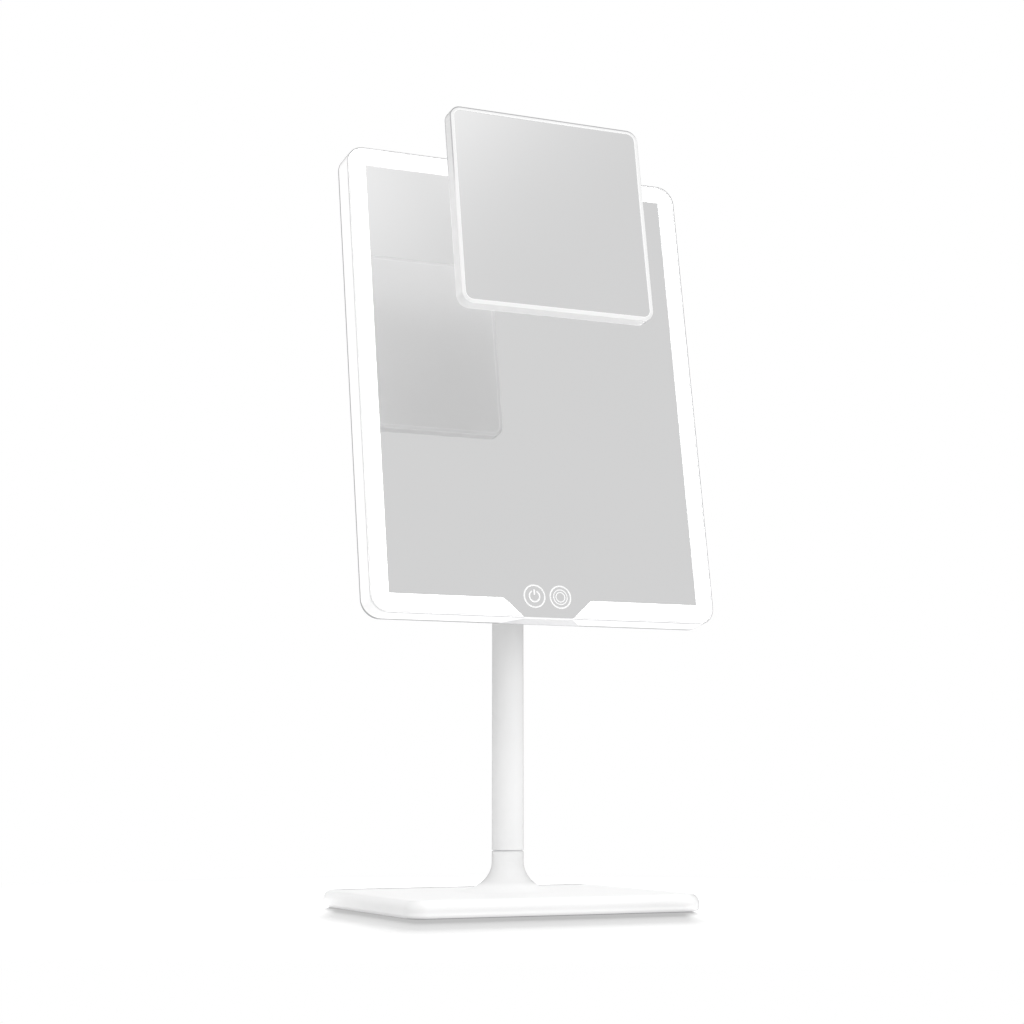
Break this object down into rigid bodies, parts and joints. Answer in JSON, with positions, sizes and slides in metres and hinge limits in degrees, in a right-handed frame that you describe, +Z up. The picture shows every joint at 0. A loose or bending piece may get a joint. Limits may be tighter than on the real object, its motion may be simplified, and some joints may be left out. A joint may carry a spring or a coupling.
{
  "type": "lighted magnifying mirror",
  "caption": "Free-standing rectangular mirror with a lit border and touch marks, tilting on a slim post over a flat weighted base, with a square magnetic magnifier that lifts off.",
  "frame": {"origin": "on the ground under the axis of the post, in the middle of the base", "axes": "+Z up along the post, +X to the right as a user faces the mirror, the mirror faces -Y"},
  "size_m": [0.21, 0.2028, 0.4274],
  "materials": {
    "white_shell": "satin white moulding",
    "frosted_band": "frosted white, lit from behind",
    "silvered": "silvered glass",
    "grey_inlay": "light grey satin",
    "inner_white": "plain white moulding",
    "white_paint": "satin white paint",
    "steel": "plain steel",
    "ballast_iron": "plain casting",
    "tape_foam": "white foam tape",
    "soft_pad": "soft light grey pad",
    "circuit_board": "white board",
    "battery_pouch": "foil pouch",
    "socket_shell": "pressed steel",
    "magnet": "plated",
    "bearing_plastic": "white bearing plastic"
  },
  "bodies": {
    "base": {"base_cover": "white_shell", "ballast_plate": "ballast_iron", "bottom_plate": "steel", "base_screws": "steel", "base_pad": "soft_pad", "swivel_ring": "bearing_plastic", "swivel_spindle": "steel", "spindle_washer": "steel", "spindle_nut": "steel"},
    "post": {"post_tube": "white_paint", "post_head": "white_paint", "post_bush": "bearing_plastic"},
    "head": {"rear_housing": "white_shell", "bottom_inlay": "grey_inlay", "light_frame": "frosted_band", "mirror_pane": "silvered", "carrier_tray": "inner_white", "tray_screws": "steel", "pane_tape": "tape_foam", "keeper_plate": "steel", "light_board_left": "circuit_board", "light_board_right": "circuit_board", "light_board_top": "circuit_board", "light_board_foot_left": "circuit_board", "light_board_foot_right": "circuit_board", "control_board": "circuit_board", "touch_pads": "soft_pad", "battery_pack": "battery_pouch", "battery_foam": "tape_foam", "charge_board": "circuit_board", "charge_socket": "socket_shell", "hinge_bracket": "white_paint", "bracket_screws": "steel", "hinge_pin": "steel", "hinge_washers": "bearing_plastic", "hinge_caps": "white_shell"},
    "magnifier": {"magnifier_frame": "white_shell", "magnifier_back": "white_shell", "magnifier_magnets": "magnet", "magnifier_tape": "tape_foam", "magnifier_mirror": "silvered"}
  },
  "joints": [
    {"name": "post_swivel", "type": "hinge", "parent": "base", "child": "post", "pos_m": [0, 0, 0.03215], "axis": [0, 0, 1], "continuous": true},
    {"name": "head_tilt", "type": "hinge", "parent": "post", "child": "head", "pos_m": [0, 0, 0.2882], "axis": [-1, 0, 0], "range_deg": [-12, 45]},
    {"name": "magnifier_lift", "type": "slide", "parent": "head", "child": "magnifier", "axis": [0, -0.9863, 0.1652], "range_m": [-0.0932, 0]}
  ]
}
